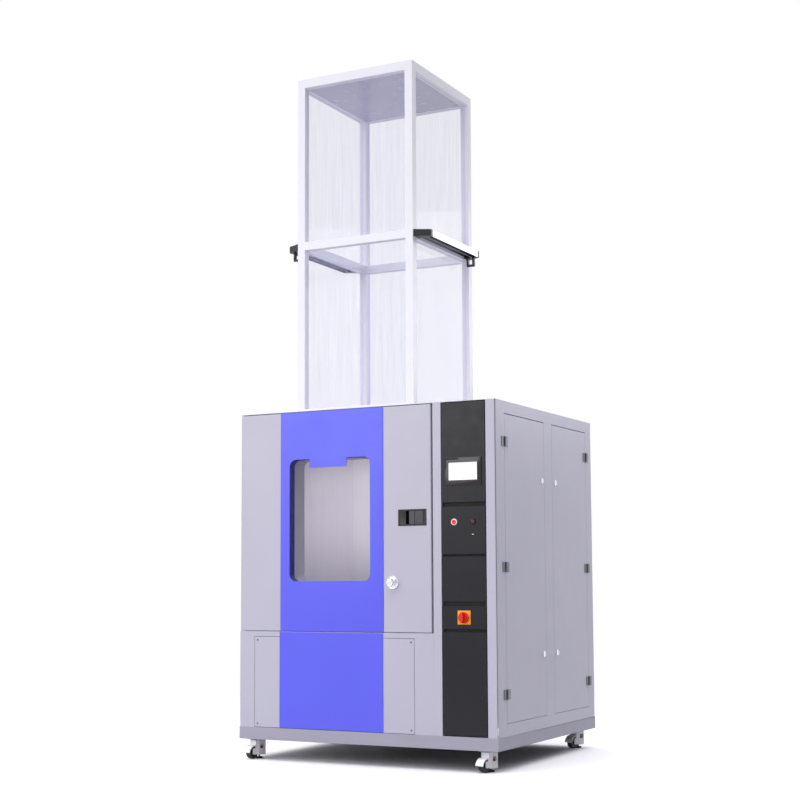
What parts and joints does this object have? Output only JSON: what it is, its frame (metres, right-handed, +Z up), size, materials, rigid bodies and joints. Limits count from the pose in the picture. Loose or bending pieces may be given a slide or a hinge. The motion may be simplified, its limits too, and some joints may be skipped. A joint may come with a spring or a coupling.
{
  "type": "environmental test chamber",
  "caption": "Floor-standing environmental test chamber with a windowed door, control column, side service doors, levelling casters and a tall clear tower over the roof opening.",
  "frame": {"origin": "on the floor under the middle of the whole machine", "axes": "+Z up, -Y out of the front with the main door, +X towards the right side with the service doors, as seen from the front"},
  "size_m": [1.5526, 1.422, 3.788],
  "materials": {
    "base_frame": "semi-gloss grey paint",
    "body_frame": "semi-gloss grey paint",
    "left_side_panel": "semi-gloss grey paint",
    "rear_panel": "semi-gloss grey paint",
    "roof_panel": "semi-gloss grey paint",
    "door_jamb": "satin grey paint",
    "insulation": "rigid foam",
    "chamber_liner": "brushed stainless steel",
    "column_panels": "satin dark grey paint",
    "column_backing": "satin black paint",
    "lower_front_panel": "semi-gloss grey paint",
    "lower_front_cover": "satin blue paint",
    "panel_screws": "zinc plated",
    "hinge_leaves_fixed": "satin zinc",
    "tower_frame": "white painted tube",
    "tower_panels": "clear acrylic",
    "tower_top": "satin grey",
    "tower_rails": "anodised",
    "rail_brackets": "moulded black plastic",
    "fan_motor": "satin black paint",
    "coil_pack": "finned aluminium",
    "compressor_unit": "gloss black paint",
    "condenser": "finned aluminium",
    "electrical_board": "galvanised plate with moulded devices",
    "power_gland": "moulded black plastic",
    "touch_screen_frame": "gloss black",
    "touch_screen_glass": "lit display under glass",
    "control_fittings": "gloss white",
    "isolator_plate": "gloss yellow",
    "door_shell": "semi-gloss grey paint",
    "door_front_cover": "satin blue paint",
    "door_glass": "clear glass",
    "door_seal": "silicone",
    "handle_bezel": "moulded black plastic",
    "knob_rose": "polished",
    "handle_paddle": "moulded black plastic",
    "door_knob": "polished",
    "side_door_front": "semi-gloss grey paint",
    "side_door_rear": "semi-gloss grey paint",
    "isolator_knob": "gloss red",
    "button_start": "gloss red",
    "button_alarm": "gloss dark red",
    "circulation_fan": "pressed sheet",
    "condenser_fan": "moulded black plastic",
    "lock_front_low": "polished",
    "lock_front_high": "polished",
    "lock_rear_low": "polished",
    "lock_rear_high": "polished",
    "caster_housing_fl": "ivory powder coat",
    "caster_wheel_fl": "black nylon",
    "caster_foot_fl": "dark red thumbwheel over a black pad",
    "caster_housing_fr": "ivory powder coat",
    "caster_wheel_fr": "black nylon",
    "caster_foot_fr": "dark red thumbwheel over a black pad",
    "caster_housing_rl": "ivory powder coat",
    "caster_wheel_rl": "black nylon",
    "caster_foot_rl": "dark red thumbwheel over a black pad",
    "caster_housing_rr": "ivory powder coat",
    "caster_wheel_rr": "black nylon",
    "caster_foot_rr": "dark red thumbwheel over a black pad"
  },
  "bodies": {
    "cabinet": {"base_frame": "base_frame", "body_frame": "body_frame", "left_side_panel": "left_side_panel", "rear_panel": "rear_panel", "roof_panel": "roof_panel", "door_jamb": "door_jamb", "insulation": "insulation", "chamber_liner": "chamber_liner", "column_panels": "column_panels", "column_backing": "column_backing", "lower_front_panel": "lower_front_panel", "lower_front_cover": "lower_front_cover", "panel_screws": "panel_screws", "hinge_leaves_fixed": "hinge_leaves_fixed", "tower_frame": "tower_frame", "tower_panels": "tower_panels", "tower_top": "tower_top", "tower_rails": "tower_rails", "rail_brackets": "rail_brackets", "fan_motor": "fan_motor", "coil_pack": "coil_pack", "compressor_unit": "compressor_unit", "condenser": "condenser", "electrical_board": "electrical_board", "power_gland": "power_gland", "touch_screen_frame": "touch_screen_frame", "touch_screen_glass": "touch_screen_glass", "control_fittings": "control_fittings", "isolator_plate": "isolator_plate"},
    "main_door": {"door_shell": "door_shell", "door_front_cover": "door_front_cover", "door_glass": "door_glass", "door_seal": "door_seal", "handle_bezel": "handle_bezel", "knob_rose": "knob_rose"},
    "paddle": {"handle_paddle": "handle_paddle"},
    "knob": {"door_knob": "door_knob"},
    "service_door_front": {"side_door_front": "side_door_front"},
    "service_door_rear": {"side_door_rear": "side_door_rear"},
    "isolator": {"isolator_knob": "isolator_knob"},
    "start_button": {"button_start": "button_start"},
    "alarm_button": {"button_alarm": "button_alarm"},
    "air_fan": {"circulation_fan": "circulation_fan"},
    "cooling_fan": {"condenser_fan": "condenser_fan"},
    "lock_front_low": {"lock_front_low": "lock_front_low"},
    "lock_front_high": {"lock_front_high": "lock_front_high"},
    "lock_rear_low": {"lock_rear_low": "lock_rear_low"},
    "lock_rear_high": {"lock_rear_high": "lock_rear_high"},
    "caster_fl": {"caster_housing_fl": "caster_housing_fl"},
    "wheel_fl": {"caster_wheel_fl": "caster_wheel_fl"},
    "foot_fl": {"caster_foot_fl": "caster_foot_fl"},
    "caster_fr": {"caster_housing_fr": "caster_housing_fr"},
    "wheel_fr": {"caster_wheel_fr": "caster_wheel_fr"},
    "foot_fr": {"caster_foot_fr": "caster_foot_fr"},
    "caster_rl": {"caster_housing_rl": "caster_housing_rl"},
    "wheel_rl": {"caster_wheel_rl": "caster_wheel_rl"},
    "foot_rl": {"caster_foot_rl": "caster_foot_rl"},
    "caster_rr": {"caster_housing_rr": "caster_housing_rr"},
    "wheel_rr": {"caster_wheel_rr": "caster_wheel_rr"},
    "foot_rr": {"caster_foot_rr": "caster_foot_rr"}
  },
  "joints": [
    {"name": "main_door_hinge", "type": "hinge", "parent": "cabinet", "child": "main_door", "pos_m": [-0.7663, -0.57, 1.269], "axis": [0, 0, -1], "range_deg": [0, 110]},
    {"name": "paddle_pivot", "type": "hinge", "parent": "main_door", "child": "paddle", "pos_m": [0.3527, -0.663, 1.272], "axis": [0, 0, 1], "range_deg": [0, 30], "stiffness_Nm_per_rad": 0.5},
    {"name": "knob_turn", "type": "hinge", "parent": "main_door", "child": "knob", "pos_m": [0.18, -0.669, 0.941], "axis": [0, 1, 0], "range_deg": [0, 90]},
    {"name": "service_door_front_hinge", "type": "hinge", "parent": "cabinet", "child": "service_door_front", "pos_m": [0.7703, -0.557, 0.983], "axis": [0, 0, -1], "range_deg": [0, 110]},
    {"name": "service_door_rear_hinge", "type": "hinge", "parent": "cabinet", "child": "service_door_rear", "pos_m": [0.7703, 0.599, 0.983], "axis": [0, 0, 1], "range_deg": [0, 110]},
    {"name": "lock_front_low_turn", "type": "hinge", "parent": "service_door_front", "child": "lock_front_low", "pos_m": [0.764, -0.067, 0.559], "axis": [-1, 0, 0], "range_deg": [0, 90]},
    {"name": "lock_front_high_turn", "type": "hinge", "parent": "service_door_front", "child": "lock_front_high", "pos_m": [0.764, -0.067, 1.478], "axis": [-1, 0, 0], "range_deg": [0, 90]},
    {"name": "lock_rear_low_turn", "type": "hinge", "parent": "service_door_rear", "child": "lock_rear_low", "pos_m": [0.764, 0.122, 0.559], "axis": [1, 0, 0], "range_deg": [0, 90]},
    {"name": "lock_rear_high_turn", "type": "hinge", "parent": "service_door_rear", "child": "lock_rear_high", "pos_m": [0.764, 0.122, 1.478], "axis": [1, 0, 0], "range_deg": [0, 90]},
    {"name": "isolator_turn", "type": "hinge", "parent": "cabinet", "child": "isolator", "pos_m": [0.5845, -0.669, 0.7635], "axis": [0, 1, 0], "range_deg": [0, 90]},
    {"name": "start_button_press", "type": "slide", "parent": "cabinet", "child": "start_button", "axis": [0, 1, 0], "range_m": [0, 0.004], "stiffness_N_per_m": 300},
    {"name": "alarm_button_press", "type": "slide", "parent": "cabinet", "child": "alarm_button", "axis": [0, 1, 0], "range_m": [0, 0.004], "stiffness_N_per_m": 300},
    {"name": "air_fan_spin", "type": "hinge", "parent": "cabinet", "child": "air_fan", "pos_m": [-0.186, 0.429, 1.548], "axis": [0, 1, 0], "continuous": true},
    {"name": "cooling_fan_spin", "type": "hinge", "parent": "cabinet", "child": "cooling_fan", "pos_m": [-0.446, 0.471, 0.378], "axis": [0, 1, 0], "continuous": true},
    {"name": "caster_fl_swivel", "type": "hinge", "parent": "cabinet", "child": "caster_fl", "pos_m": [-0.681, -0.594, 0], "axis": [0, 0, 1], "continuous": true},
    {"name": "wheel_fl_roll", "type": "hinge", "parent": "caster_fl", "child": "wheel_fl", "pos_m": [-0.69562, -0.64182, 0.0335], "axis": [-0.9563, 0.2924, 0], "continuous": true},
    {"name": "foot_fl_lift", "type": "slide", "parent": "caster_fl", "child": "foot_fl", "axis": [0, 0, 1], "range_m": [0, 0.01]},
    {"name": "caster_fr_swivel", "type": "hinge", "parent": "cabinet", "child": "caster_fr", "pos_m": [0.689, -0.594, 0], "axis": [0, 0, 1], "continuous": true},
    {"name": "wheel_fr_roll", "type": "hinge", "parent": "caster_fr", "child": "wheel_fr", "pos_m": [0.67438, -0.64182, 0.0335], "axis": [-0.9563, 0.2924, 0], "continuous": true},
    {"name": "foot_fr_lift", "type": "slide", "parent": "caster_fr", "child": "foot_fr", "axis": [0, 0, 1], "range_m": [0, 0.01]},
    {"name": "caster_rl_swivel", "type": "hinge", "parent": "cabinet", "child": "caster_rl", "pos_m": [-0.681, 0.611, 0], "axis": [0, 0, 1], "continuous": true},
    {"name": "wheel_rl_roll", "type": "hinge", "parent": "caster_rl", "child": "wheel_rl", "pos_m": [-0.69562, 0.56319, 0.0335], "axis": [-0.9563, 0.2924, 0], "continuous": true},
    {"name": "foot_rl_lift", "type": "slide", "parent": "caster_rl", "child": "foot_rl", "axis": [0, 0, 1], "range_m": [0, 0.01]},
    {"name": "caster_rr_swivel", "type": "hinge", "parent": "cabinet", "child": "caster_rr", "pos_m": [0.689, 0.611, 0], "axis": [0, 0, 1], "continuous": true},
    {"name": "wheel_rr_roll", "type": "hinge", "parent": "caster_rr", "child": "wheel_rr", "pos_m": [0.67438, 0.56319, 0.0335], "axis": [-0.9563, 0.2924, 0], "continuous": true},
    {"name": "foot_rr_lift", "type": "slide", "parent": "caster_rr", "child": "foot_rr", "axis": [0, 0, 1], "range_m": [0, 0.01]}
  ]
}
